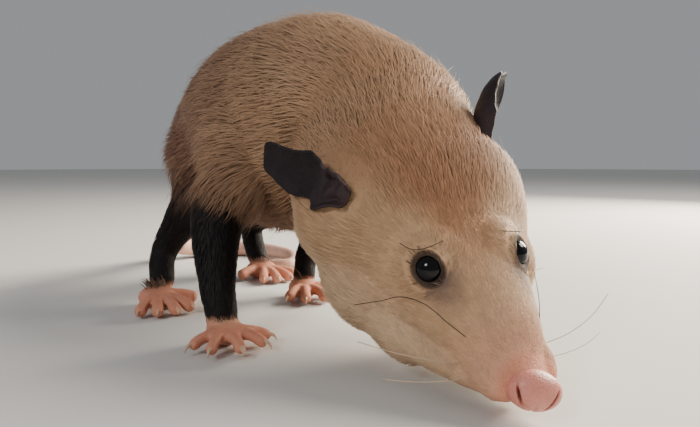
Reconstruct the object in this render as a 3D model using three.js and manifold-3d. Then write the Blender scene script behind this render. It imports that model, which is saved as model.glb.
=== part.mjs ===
// A life-size Virginia opossum that stands with its head lowered and turned to sniff the ground.
// Millimetres, +Z up. The animal faces +X and its left side is +Y. Its feet stand on z = 0.
import * as THREE from "three";
import { mergeVertices } from "three/addons/utils/BufferGeometryUtils.js";
import Module from "manifold-3d";

const wasm = await Module();
wasm.setup();

const { degToRad, lerp, clamp } = THREE.MathUtils;
const UP = new THREE.Vector3(0, 0, 1);
const vector = (x, y, z) => new THREE.Vector3(x, y, z);

// Driving dimensions
const GAP = 0.3;
const HEAD_LENGTH = 104;
const HEAD_TURN = -11;
const HEAD_DOWN = 36;
const HEAD_TILT = 8;
const NOSE_TIP = vector(201, 7, 8.6);
const NOSE_TURN = -26;
const NOSE_LIFT = 20;
const SHOULDER_HEIGHT = 97;
const BACK_HEIGHT = 102;
const HIP_HEIGHT = 84;
const COAT_DEPTH = 7;
const LOCK_LENGTH = 50;
const LOCK_WIDTH = 25;
const LOCK_THICKNESS = 3.6;
const LOCK_PITCH = 27;
const EYE_RADIUS = 6;
const EYE_BACK = 50;
const EYE_SIDE = 15.2;
const EYE_RISE = 8.6;
const LID = 1.4;
const EAR_LENGTH = 45;
const EAR_WIDTH = 33;
const EAR_THICKNESS = 1.3;
const FOREFOOT_LENGTH = 22;
const HINDFOOT_LENGTH = 27;
const TOE_RADIUS = 3.1;
const CLAW_LENGTH = 5.5;
const TAIL_ROOT_RADIUS = 10;
const TAIL_TIP_RADIUS = 3;
const FUR_SEED = 10;

// Colours of the sub-parts, each with its roughness
const FINISH = {
  face: { color: 0xcdb295, roughness: 0.9 },
  coat: { color: 0x8d7466, roughness: 0.95 },
  darkFur: { color: 0x2b2422, roughness: 0.95 },
  skin: { color: 0xd29a85, roughness: 0.55 },
  nose: { color: 0xd08d80, roughness: 0.35 },
  eye: { color: 0x0b0908, roughness: 0.08 },
  ear: { color: 0x2a2423, roughness: 0.6 },
  darkTail: { color: 0x3a302e, roughness: 0.7 },
  paleTail: { color: 0xd9b8a2, roughness: 0.65 },
};

// Turns a closed three.js geometry into a solid whose faces point out, with corners closer than
// the merging distance joined.
function solidOf(geometry, merging = 1e-4) {
  const bare = new THREE.BufferGeometry();
  bare.setAttribute("position", geometry.getAttribute("position"));
  bare.setIndex(geometry.index);
  const merged = mergeVertices(bare, merging);
  const corner = (i) => vector().fromBufferAttribute(merged.getAttribute("position"), i);
  const triangles = [];
  let volume = 0;
  for (let i = 0; i < merged.index.count; i += 3) {
    const [a, b, c] = merged.index.array.slice(i, i + 3);
    if (a === b || b === c || c === a) continue;
    triangles.push(a, b, c);
    volume += corner(a).dot(corner(b).cross(corner(c)));
  }
  if (volume < 0) triangles.reverse();
  return new wasm.Manifold(
    new wasm.Mesh({
      numProp: 3,
      vertProperties: new Float32Array(merged.getAttribute("position").array),
      triVerts: new Uint32Array(triangles),
    }),
  );
}

const unite = (solids) => solids.reduce((sum, next) => sum.add(next));

function geometryOf(solid) {
  const { vertProperties, triVerts } = solid.getMesh();
  const geometry = new THREE.BufferGeometry();
  geometry.setAttribute("position", new THREE.BufferAttribute(new Float32Array(vertProperties), 3));
  geometry.setIndex(new THREE.BufferAttribute(new Uint32Array(triVerts), 1));
  return geometry;
}

// The largest closed surface of a solid, once its slivers are merged away.
const SLIVER = 0.004;
const largest = (solid) =>
  solidOf(geometryOf(solid), SLIVER)
    .decompose()
    .sort((a, b) => b.volume() - a.volume())[0];

// An egg-shaped solid of the given half sizes.
function egg(centre, radii, { sides = 10, rings = 7, turn = new THREE.Matrix4() } = {}) {
  const geometry = new THREE.SphereGeometry(1, sides, rings);
  geometry.scale(radii.x, radii.y, radii.z);
  geometry.applyMatrix4(turn);
  geometry.translate(centre.x, centre.y, centre.z);
  return solidOf(geometry);
}

// A body is a curve with oval sections along it, closed to a point at both ends.
// A row gives the distance along the curve, the half width, the height above and the depth below,
// and may end with a curl: half the angle of the arc that the section is bent into.
class Body {
  constructor(points, rows, { sides = 14, steps = 2, up = UP } = {}) {
    this.curve = new THREE.CatmullRomCurve3(points, false, "centripetal");
    this.length = this.curve.getLength();
    this.rows = rows;
    this.sides = sides;
    this.steps = steps;
    this.up = up;
  }

  size(column, along) {
    const last = this.rows.length - 1;
    const next = this.rows.findIndex((row) => row[0] > along);
    const i = next < 0 ? last - 1 : Math.max(next - 1, 0);
    const value = (k) => this.rows[clamp(k, 0, last)][column] ?? 0;
    const span = this.rows[i + 1][0] - this.rows[i][0];
    const t = clamp((along - this.rows[i][0]) / span, 0, 1);
    const [a, b, c, d] = [value(i - 1), value(i), value(i + 1), value(i + 2)];
    return b + 0.5 * t * (c - a + t * (2 * a - 5 * b + 4 * c - d + t * (3 * (b - c) + d - a)));
  }

  frame(along) {
    const u = clamp(along / this.length, 0, 1);
    const tangent = this.curve.getTangentAt(u);
    const centre = this.curve.getPointAt(u).addScaledVector(tangent, along - u * this.length);
    const left = vector().crossVectors(this.up, tangent).normalize();
    const top = vector().crossVectors(tangent, left);
    return { centre, tangent, left, top };
  }

  // The surface point at a distance along the body and an angle round it, 0 at its left side and
  // 90 degrees on top, raised off the surface by lift.
  point(along, angle, lift = 0) {
    const { centre, left, top } = this.frame(along);
    const [cos, sin] = [Math.cos(angle), Math.sin(angle)];
    const grown = (column) => Math.max(this.size(column, along), 0.15) + lift;
    const across = grown(1) * cos;
    const height = grown(sin > 0 ? 2 : 3) * sin;
    const bend = this.size(4, along) / Math.max(this.size(1, along), 3);
    if (bend < 1e-6) return centre.addScaledVector(left, across).addScaledVector(top, height);
    const arc = across * bend;
    centre.addScaledVector(left, Math.sin(arc) / bend - Math.sin(arc) * height);
    return centre.addScaledVector(top, (1 - Math.cos(arc)) / bend + Math.cos(arc) * height);
  }

  // The whole body as a solid, or its stretch between two cuts, raised off the surface by lift.
  solid(lift = 0, from = -Infinity, to = Infinity) {
    const { rows, steps, sides } = this;
    const [first, last] = [rows[0][0], rows.at(-1)[0]];
    const rings = [];
    for (let i = 0; i < rows.length - 1; i++)
      for (let step = 0; step < steps; step++) rings.push(lerp(rows[i][0], rows[i + 1][0], step / steps));
    const inside = rings.slice(1).filter((along) => along > from + 1 && along < to - 1);
    if (from > first) inside.unshift(from);
    if (to < last) inside.push(to);
    const poles = [from > first ? from : first - lift, to < last ? to : last + lift];
    const stops = [poles[0], ...inside, poles[1]];
    const geometry = new THREE.SphereGeometry(1, sides, stops.length - 1);
    const position = geometry.getAttribute("position");
    stops.forEach((along, ring) => {
      const isPole = ring === 0 || ring === stops.length - 1;
      for (let side = 0; side <= sides; side++) {
        const angle = (2 * Math.PI * (side % sides)) / sides;
        const place = isPole ? this.frame(along).centre : this.point(along, angle, lift);
        position.setXYZ(ring * (sides + 1) + side, place.x, place.y, place.z);
      }
    });
    return solidOf(geometry);
  }
}

// The head's own frame: x forward from the nose tip, y to the left, z up.
const HEAD = new THREE.Matrix4()
  .makeTranslation(NOSE_TIP)
  .multiply(new THREE.Matrix4().makeRotationZ(degToRad(HEAD_TURN)))
  .multiply(new THREE.Matrix4().makeRotationY(degToRad(HEAD_DOWN)))
  .multiply(new THREE.Matrix4().makeRotationX(degToRad(HEAD_TILT)));
const HEAD_TURNED = new THREE.Matrix4().extractRotation(HEAD);
const inHead = (x, y, z) => vector(x, y, z).applyMatrix4(HEAD);
const SIDES = { left: 1, right: -1 };

// The trunk, from the muzzle over the neck and back to the root of the tail
const TAIL_ROOT = vector(-99, 21, 62);
const trunk = new Body(
  [
    inHead(0, 0, -1),
    inHead(-34, 0, -5),
    inHead(-68, 0, -10),
    inHead(-HEAD_LENGTH, 0, -6),
    vector(84, 34, SHOULDER_HEIGHT - 10),
    vector(50, 27, SHOULDER_HEIGHT),
    vector(10, 20, BACK_HEIGHT),
    vector(-30, 20, BACK_HEIGHT - 4),
    vector(-71, 20, HIP_HEIGHT),
    TAIL_ROOT,
  ],
  [
    [3, 0, 0, 0],
    [5, 6, 5.5, 4.5],
    [10, 9, 7.5, 7.5],
    [20, 14, 13.5, 9],
    [32, 19, 18, 12],
    [42, 23, 22, 16],
    [52, 27, 26, 20],
    [64, 35, 30.5, 25],
    [78, 43.5, 34, 30],
    [92, 47.5, 37, 35],
    [106, 45, 37, 39],
    [126, 42, 38, 42],
    [150, 43, 42.5, 47],
    [178, 47, 49, 51],
    [204, 44.5, 47, 54],
    [232, 42.5, 43, 54],
    [260, 38, 39, 49],
    [288, 34.5, 34.5, 39],
    [308, 26, 26, 28],
    [319, 15, 15, 16],
    [325, 0, 0, 0],
  ],
  { sides: 24, steps: 2 },
);
const torso = new Body(trunk.curve.points, trunk.rows, { sides: 16, steps: 1 });
const SKULL_END = 104;

// The lengths of the trunk behind the skull, each with its own locks
const LENGTHS = { neck: [SKULL_END, 150], shoulders: [150, 206], loin: [206, 262], rump: [262, 330] };
const lengthClear = (name) => torso.solid(GAP, LENGTHS[name][0] - GAP, LENGTHS[name][1] + GAP);
const trunkClear = () => unite(Object.keys(LENGTHS).map(lengthClear));

// Nose: a bare pad with a groove down its middle and a comma-shaped nostril on each side
const NOSE_RADII = vector(5.6, 8.4, 6.5);
const NOSE = HEAD.clone()
  .multiply(new THREE.Matrix4().makeTranslation(-4.2, 0, -0.4))
  .multiply(new THREE.Matrix4().makeRotationZ(degToRad(NOSE_TURN)))
  .multiply(new THREE.Matrix4().makeRotationY(degToRad(-NOSE_LIFT)));
const inNose = (x, y, z) => vector(x, y, z).applyMatrix4(NOSE);
const nosePad = (lift = 0) => {
  const turn = new THREE.Matrix4().extractRotation(NOSE);
  return egg(inNose(0, 0, 0), NOSE_RADII.clone().addScalar(lift), { turn, sides: 14, rings: 9 });
};

function makeNose() {
  const groove = new Body(
    [inNose(4.4, 0, 4.6), inNose(5.9, 0, 0), inNose(4, 0, -6.6)],
    [[0, 0, 0, 0], [1, 0.7, 0.7, 0.7], [11, 0.7, 0.7, 0.7], [12, 0, 0, 0]],
    { sides: 6, steps: 1 },
  );
  let pad = nosePad().subtract(groove.solid());
  for (const side of Object.values(SIDES)) {
    const nostril = new Body(
      [inNose(6, side * 4.4, 0.4), inNose(2.8, side * 3.5, 0.8), inNose(-0.6, side * 2.8, 1)],
      [[0, 0, 0, 0], [1, 1.4, 1.9, 1.9], [4.5, 1.1, 1.3, 1.3], [6, 0, 0, 0]],
      { sides: 8, steps: 1 },
    );
    const slit = new Body(
      [inNose(4.6, side * 4.4, 1.6), inNose(3.7, side * 5.8, 2.6), inNose(1.6, side * 6.9, 3.6)],
      [[0, 0, 0, 0], [1, 0.9, 0.9, 0.9], [3.4, 0.7, 0.7, 0.7], [4.6, 0, 0, 0]],
      { sides: 6, steps: 1 },
    );
    pad = pad.subtract(nostril.solid()).subtract(slit.solid());
  }
  return largest(pad);
}

// Lower jaw, tucked up under the skull
const jaw = new Body(
  [inHead(-8, 0, -11), inHead(-30, 0, -17), inHead(-56, 0, -26), inHead(-88, 0, -34)],
  [
    [0, 0, 0, 0],
    [2, 4, 4, 3.5],
    [8, 6.5, 7, 5.6],
    [22, 10, 9.5, 9.2],
    [38, 15, 12, 12.5],
    [56, 21, 14, 15],
    [74, 26, 15, 17],
    [88, 0, 0, 0],
  ],
  { sides: 12, steps: 1 },
);

// The full upper lip along one side of the mouth, from below the nose back to the cheek.
function upperLip(side, lift) {
  const edge = new Body(
    [
      inHead(-7, side * 4, -4.4),
      inHead(-14, side * 9, -6.8),
      inHead(-24, side * 14.5, -10.8),
      inHead(-38, side * 20, -16.5),
      inHead(-56, side * 25, -20.5),
      inHead(-76, side * 23, -16),
    ],
    [
      [0, 0, 0, 0],
      [2, 3, 3, 3],
      [10, 4, 4, 4],
      [24, 4.8, 5.2, 5],
      [40, 5.8, 6.5, 6],
      [60, 8, 9.5, 8.5],
      [80, 0, 0, 0],
    ],
    { sides: 8, steps: 1 },
  );
  return edge.solid(lift);
}

// Eyes, deep in the head under their lids
const eyeCentre = (side) => inHead(-EYE_BACK, side * EYE_SIDE, EYE_RISE);
const eyeBall = (side, lift = 0) =>
  egg(eyeCentre(side), vector(1, 1, 1).multiplyScalar(EYE_RADIUS + lift), { sides: 12, rings: 9 });

// The almond opening between the lids, along the way the eye looks.
function lidOpening(side) {
  const gaze = vector(0.52, side * 0.58, 0.62).normalize();
  const corner = vector(0.86, side * -0.3, -0.4).projectOnPlane(gaze).normalize();
  const rise = vector().crossVectors(gaze, corner);
  const turn = new THREE.Matrix4().makeBasis(corner, rise, gaze).premultiply(HEAD_TURNED);
  const centre = gaze.multiplyScalar(EYE_RADIUS + LID).applyMatrix4(HEAD_TURNED).add(eyeCentre(side));
  return egg(centre, vector(5.6, 4.9, 5.4), { turn, sides: 12, rings: 7 });
}

// Ears: thin cupped shells, the left one up and the right one laid back. A row of each gives the
// share of the ear's length, the share of its width there and its curl.
const EARS = {
  left: {
    root: inHead(-103.6, 27.6, 14.2),
    lean: vector(-0.203, 0.634, 0.747),
    face: vector(0.774, 0.571, -0.274),
    length: EAR_LENGTH,
    rows: [
      [0.06, 0.5, 1.9],
      [0.2, 0.72, 1.6],
      [0.42, 0.95, 1.15],
      [0.68, 1, 0.8],
      [0.9, 0.94, 0.6],
      [1.03, 0.66, 0.4],
    ],
  },
  right: {
    root: inHead(-82.9, -35.8, 20.2),
    lean: vector(-0.883, -0.328, 0.336),
    face: vector(0.259, -0.937, -0.235),
    length: EAR_LENGTH - 2,
    rows: [
      [0.06, 0.62, 1.3],
      [0.2, 0.86, 1.1],
      [0.42, 1, 0.85],
      [0.66, 1, 0.7],
      [0.86, 0.7, 0.6],
      [1.03, 0.42, 0.5],
    ],
  },
};
const EAR_CURVE = 5;

function ear(name, lift = 0) {
  const { root, lean, face, length, rows } = EARS[name];
  const sag = (share) => -EAR_CURVE * share * (1 - share) * 4;
  const at = (share) => root.clone().addScaledVector(lean, length * share).addScaledVector(face, sag(share));
  const half = EAR_THICKNESS / 2;
  const shell = new Body(
    [at(-0.12), at(0.3), at(0.65), at(1)],
    [
      [0, 0, 0, 0, 1.9],
      ...rows.map(([share, width, curl]) => [length * share, (EAR_WIDTH / 2) * width, half, half, curl]),
      [length * 1.1, 0, 0, 0, 0.3],
    ],
    { sides: 14, steps: 1, up: face },
  );
  return shell.solid(lift);
}

// Head: the skull with its cheeks, brows, whisker pads and upper lips
function skull(lift = 0) {
  const bulges = Object.values(SIDES).flatMap((side) => [
    egg(eyeCentre(side), vector(1, 1, 1).multiplyScalar(EYE_RADIUS + LID + lift)),
    egg(inHead(-74, side * 24, -17), vector(26, 19, 18).addScalar(lift), { turn: HEAD_TURNED }),
    egg(inHead(-18, side * 7.4, -3.8), vector(13, 7, 7).addScalar(lift), { turn: HEAD_TURNED }),
    upperLip(side, lift),
  ]);
  return unite([trunk.solid(lift, -Infinity, SKULL_END - GAP / 2), ...bulges]);
}

function makeHead() {
  let head = skull().subtract(nosePad(GAP));
  head = head.subtract(torso.solid(GAP, SKULL_END - GAP / 2, SKULL_END + 60));
  for (const side of Object.values(SIDES)) {
    head = head.subtract(eyeBall(side, GAP)).subtract(lidOpening(side));
  }
  return largest(head);
}

// Legs, each with the points of its bones from the trunk down, and its half thickness at shares
// of its length
const LEGS = {
  right_fore: {
    upper: "upper_arm",
    lower: "forearm",
    foot: "forefoot",
    points: [vector(50, -8, 84), vector(42, -27, 56), vector(60, -37, 27), vector(70, -38, 6)],
    rows: [[0, 0], [0.06, 16], [0.25, 15], [0.45, 12], [0.65, 9.5], [0.84, 8], [0.96, 7], [1, 0]],
    bend: 0.4,
    sole: vector(72, -38, 0),
    heading: -6,
    toes: [-66, -34, 0, 34, 64],
    size: FOREFOOT_LENGTH,
  },
  left_fore: {
    upper: "upper_arm",
    lower: "forearm",
    foot: "forefoot",
    points: [vector(42, 44, 82), vector(16, 52, 54), vector(4, 42, 26), vector(10, 35, 6)],
    rows: [[0, 0], [0.06, 16], [0.25, 15], [0.45, 11], [0.65, 7.5], [0.84, 6.5], [0.96, 6], [1, 0]],
    bend: 0.42,
    sole: vector(12, 35, 0),
    heading: 4,
    toes: [-62, -32, 0, 30, 58],
    size: FOREFOOT_LENGTH,
  },
  right_hind: {
    upper: "thigh",
    lower: "shank",
    foot: "hindfoot",
    points: [vector(-56, 3, 80), vector(-20, -21, 62), vector(-34, -32, 26), vector(-15, -39, 8)],
    rows: [
      [0, 0],
      [0.03, 12],
      [0.1, 19],
      [0.22, 20],
      [0.41, 14],
      [0.58, 9.5],
      [0.76, 7.5],
      [0.96, 6.5],
      [1, 0],
    ],
    bend: 0.4,
    sole: vector(-12, -42, 0),
    heading: -8,
    toes: [-30, -10, 10, 30, 82],
    size: HINDFOOT_LENGTH,
  },
  left_hind: {
    upper: "thigh",
    lower: "shank",
    foot: "hindfoot",
    points: [vector(-62, 34, 80), vector(-44, 48, 56), vector(-80, 45, 32), vector(-61, 41, 7)],
    rows: [
      [0, 0],
      [0.03, 11],
      [0.1, 17],
      [0.22, 18],
      [0.4, 14],
      [0.58, 9],
      [0.76, 7.5],
      [0.96, 6.5],
      [1, 0],
    ],
    bend: 0.38,
    sole: vector(-56, 41, 0),
    heading: 6,
    toes: [30, 10, -10, -30, -82],
    size: HINDFOOT_LENGTH,
  },
};

function legBody({ points, rows }) {
  const { length } = new Body(points, []);
  const sized = rows.map(([share, radius]) => [share * length, radius * 0.9, radius, radius]);
  return new Body(points, sized, { sides: 12, steps: 1, up: vector(1, 0, 0) });
}

// A foot: the palm, five spread toes that stand on their pads, and a claw on each but the thumb.
function makeFoot({ sole, heading, toes, size }, isHind) {
  const at = (angle, reach, height) => {
    const turn = degToRad(heading + angle);
    return vector(sole.x + reach * Math.cos(turn), sole.y + reach * Math.sin(turn), height);
  };
  const palmRadii = vector(size * 0.42, size * 0.38, 6.5);
  const palm = egg(vector(sole.x - 2, sole.y, 5.5), palmRadii, { sides: 10, rings: 6 });
  const pieces = [palm];
  toes.forEach((angle, i) => {
    const isThumb = isHind && i === 4;
    const reach = size * (isThumb ? 0.72 : lerp(0.78, 1, Math.cos(degToRad(angle))));
    const radius = isThumb ? TOE_RADIUS * 1.15 : TOE_RADIUS;
    const toe = new Body(
      [at(angle, size * 0.22, 6), at(angle, reach * 0.68, 6.4), at(angle, reach, radius * 0.9)],
      [[0, 0], [2, 1], [reach * 0.45, 0.9], [reach * 0.78, 1], [reach * 0.92, 0]].map(
        ([along, share]) => [along, radius * share, radius * share, radius * share],
      ),
      { sides: 6, steps: 1 },
    );
    pieces.push(toe.solid());
    if (isThumb) return;
    const claw = new Body(
      [at(angle, reach - 3, 4.6), at(angle, reach + 1, 4.2), at(angle, reach + CLAW_LENGTH - 1.5, 1.2)],
      [[0, 0, 0, 0], [1, 1.1, 1.3, 1.2], [CLAW_LENGTH * 0.7, 0.9, 1.1, 0.9], [CLAW_LENGTH + 2.8, 0, 0, 0]],
      { sides: 5, steps: 1 },
    );
    pieces.push(claw.solid());
  });
  return unite(pieces);
}

// Tail: bare, tapered, laid on the ground in a loose curl behind the left hind foot
const TAIL_LENGTH = 262;
const TAIL_LIE = TAIL_TIP_RADIUS + 2;
const tail = new Body(
  [
    TAIL_ROOT.clone().add(vector(12, 0, 8)),
    TAIL_ROOT.clone().add(vector(-28, -2, -27)),
    vector(-155, 14, 15),
    vector(-165, 46, TAIL_LIE + 2),
    vector(-142, 78, TAIL_LIE + 1),
    vector(-104, 88, TAIL_LIE),
    vector(-76, 72, TAIL_LIE - 1),
    vector(-86, 58, TAIL_LIE - 1.6),
  ],
  [0, 0.02, 0.12, 0.25, 0.38, 0.5, 0.62, 0.75, 0.88, 0.98, 1].map((share, i, all) => {
    const radius = i === 0 || i === all.length - 1 ? 0 : lerp(TAIL_ROOT_RADIUS, TAIL_TIP_RADIUS, share);
    return [TAIL_LENGTH * share, radius, radius, radius];
  }),
  { sides: 10, steps: 3 },
);
const TAIL_CUTS = { tail_root: [0, 0.3], tail_middle: [0.3, 0.62], tail_end: [0.62, 1] };

// Coat: flat tapered locks that lie back over one another, rooted in the trunk
const random = (() => {
  let state = FUR_SEED;
  return () => {
    state = (state * 16807) % 2147483647;
    return state / 2147483647;
  };
})();
const vary = (share) => 1 + share * (2 * random() - 1);

function planLocks(from, to) {
  const locks = [];
  const rows = Math.round((to - from) / LOCK_PITCH);
  for (let row = 0; row < rows; row++) {
    const along = lerp(from, to, (row + 0.5) / rows);
    const girth = Math.PI * (trunk.size(1, along) + trunk.size(2, along) / 2 + trunk.size(3, along) / 2);
    const count = Math.round(girth / LOCK_PITCH);
    for (let i = 0; i < count; i++) {
      locks.push({
        along: along + LOCK_PITCH * 0.2 * (2 * random() - 1),
        angle: (2 * Math.PI * (i + (row % 2) / 2 + 0.2 * random())) / count,
        length: LOCK_LENGTH * vary(0.15),
        width: LOCK_WIDTH * vary(0.15),
        rise: COAT_DEPTH * vary(0.12),
      });
    }
  }
  return locks;
}

function lockSolid({ along, angle, length, width, rise }, lift = 0) {
  const sag = -0.25 * Math.cos(angle) * (Math.sin(angle) > -0.5 ? 1 : 0);
  const end = trunk.rows[trunk.rows.length - 2][0];
  const at = (share, height) =>
    trunk.point(Math.min(along + length * share, end), angle + sag * share, height);
  const points = [at(0, -5), at(0.25, 0.8), at(0.65, rise * 0.62), at(1, rise)];
  const normal = at(0.5, 10).sub(at(0.5, 0)).normalize();
  const flat = LOCK_THICKNESS / 2;
  const strand = new Body(
    points,
    [
      [0, 0, 0, 0],
      [length * 0.1, width * 0.34, flat, flat],
      [length * 0.5, width * 0.5, flat, flat],
      [length * 0.8, width * 0.3, flat * 0.7, flat * 0.7],
      [length * 1.02, 0, 0, 0],
    ],
    { sides: 4, steps: 1, up: normal },
  );
  return strand.solid(lift);
}

// Each length is a whole core with its locks, which make room for the limbs, ears, head and tail.
function makeTrunkNodes(clearances) {
  const nodes = {};
  let ahead = skull(GAP);
  let cover = ahead;
  for (const [name, [from, to]] of Object.entries(LENGTHS)) {
    const core = torso.solid(0, from + GAP / 2, to - GAP / 2).subtract(ahead);
    const locks = planLocks(from + 4, Math.min(to, 300));
    const others = Object.keys(LENGTHS).filter((other) => other !== name).map(lengthClear);
    const coat = unite(locks.map((lock) => lockSolid(lock)));
    const clearCoat = [cover, ...others, ...clearances].reduce((rest, clear) => rest.subtract(clear), coat);
    nodes[name] = largest(core.add(clearCoat));
    cover = unite(locks.map((lock) => lockSolid(lock, 2 * GAP)));
    ahead = lengthClear(name);
  }
  return nodes;
}

// Puts the solids together as named meshes
const group = new THREE.Group();

function addNode(name, solid, finish) {
  const geometry = geometryOf(solid);
  geometry.computeVertexNormals();
  const mesh = new THREE.Mesh(geometry, new THREE.MeshStandardMaterial({ ...finish, metalness: 0 }));
  mesh.name = name;
  group.add(mesh);
}

addNode("head", makeHead(), FINISH.face);
addNode("nose", makeNose(), FINISH.nose);
const jawSolid = jaw.solid().subtract(skull(GAP).add(nosePad(GAP)));
addNode("lower_jaw", largest(jawSolid.trimByPlane([0, 0, 1], 2 * GAP)), FINISH.face);
for (const [name, side] of Object.entries(SIDES)) {
  addNode(`eye_${name}`, eyeBall(side), FINISH.eye);
  addNode(`ear_${name}`, largest(ear(name).subtract(skull(GAP).add(trunkClear()))), FINISH.ear);
}

const clearances = [skull(GAP), tail.solid(GAP), ...Object.keys(SIDES).map((name) => ear(name, 2 * GAP))];
for (const [key, leg] of Object.entries(LEGS)) {
  const side = key.split("_")[0];
  const limb = legBody(leg);
  const ankle = limb.length * 0.86;
  const bend = limb.length * leg.bend;
  const foot = unite([limb.solid(0, ankle + GAP / 2), makeFoot(leg, leg.foot === "hindfoot")]);
  const lower = limb.solid(0, bend + GAP / 2, ankle - GAP / 2);
  const upper = limb.solid(0, 0, bend - GAP / 2).subtract(trunkClear());
  const clearLower = limb.solid(GAP, bend + GAP / 2, ankle - GAP / 2);
  addNode(`${leg.foot}_${side}`, largest(foot.subtract(clearLower).trimByPlane([0, 0, 1], 0)), FINISH.skin);
  addNode(`${leg.lower}_${side}`, largest(lower.subtract(trunkClear())), FINISH.darkFur);
  addNode(`${leg.upper}_${side}`, largest(upper.subtract(clearLower)), FINISH.darkFur);
  clearances.push(limb.solid(2 * GAP, bend - GAP, ankle), limb.solid(2 * GAP, 0, bend + GAP));
}

for (const [name, [from, to]] of Object.entries(TAIL_CUTS)) {
  const length = tail.solid(0, TAIL_LENGTH * from + GAP / 2, TAIL_LENGTH * to - GAP / 2);
  const clear = length.subtract(trunkClear()).trimByPlane([0, 0, 1], 0);
  addNode(name, largest(clear), from < 0.3 ? FINISH.darkTail : FINISH.paleTail);
}

const trunkNodes = makeTrunkNodes(clearances);
for (const [name, solid] of Object.entries(trunkNodes)) addNode(name, solid, FINISH.coat);

// The origin is below the middle of the whole animal, on the ground.
const box = new THREE.Box3().setFromObject(group);
const middle = box.getCenter(vector());
group.position.set(-middle.x, -middle.y, 0);

export default group;
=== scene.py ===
import math
import bmesh
import bpy
import numpy as np
from mathutils import Matrix, Vector
from mathutils.bvhtree import BVHTree
from mathutils.kdtree import KDTree


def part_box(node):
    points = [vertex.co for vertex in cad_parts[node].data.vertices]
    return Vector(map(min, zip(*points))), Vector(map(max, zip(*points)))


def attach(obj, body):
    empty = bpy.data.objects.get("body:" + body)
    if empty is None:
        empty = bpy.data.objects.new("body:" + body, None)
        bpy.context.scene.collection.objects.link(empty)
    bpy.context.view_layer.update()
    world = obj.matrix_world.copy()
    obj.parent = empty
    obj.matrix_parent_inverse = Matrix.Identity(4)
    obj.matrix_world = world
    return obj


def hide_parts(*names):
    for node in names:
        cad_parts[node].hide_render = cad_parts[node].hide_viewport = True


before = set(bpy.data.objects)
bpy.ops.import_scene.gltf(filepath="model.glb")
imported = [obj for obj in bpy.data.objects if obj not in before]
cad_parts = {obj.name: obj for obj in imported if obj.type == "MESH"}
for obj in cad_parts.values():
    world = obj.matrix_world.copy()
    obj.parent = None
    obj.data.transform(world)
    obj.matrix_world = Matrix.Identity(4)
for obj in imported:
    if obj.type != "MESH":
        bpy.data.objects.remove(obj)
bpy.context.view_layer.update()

# Body plan. The opossum is drawn in millimetres on the same centre lines as its solids: a trunk
# from the muzzle to the root of the tail, a lower jaw, four legs and the tail. The middle between
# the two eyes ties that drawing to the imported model.
HEAD_LENGTH = 104
NOSE_TIP = Vector((201, 7, 8.6))
HEAD_TURNED = (
    Matrix.Rotation(math.radians(-11), 4, "Z")
    @ Matrix.Rotation(math.radians(36), 4, "Y")
    @ Matrix.Rotation(math.radians(8), 4, "X")
)
HEAD = Matrix.Translation(NOSE_TIP) @ HEAD_TURNED
EYE_BACK, EYE_SIDE, EYE_RISE = 50, 15.2, 8.6
SIDES = {"left": 1, "right": -1}
MILLIMETRE = 0.001


def in_head(x, y, z):
    return HEAD @ Vector((x, y, z))


def box_middle(node):
    low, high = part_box(node)
    return (Vector(low) + Vector(high)) / 2


eyes_middle = (box_middle("eye_left") + box_middle("eye_right")) / 2
PLAN_SHIFT = eyes_middle - in_head(-EYE_BACK, 0, EYE_RISE) * MILLIMETRE
PLAN_TO_FRAME = Matrix.Translation(PLAN_SHIFT) @ Matrix.Scale(MILLIMETRE, 4)


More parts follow.
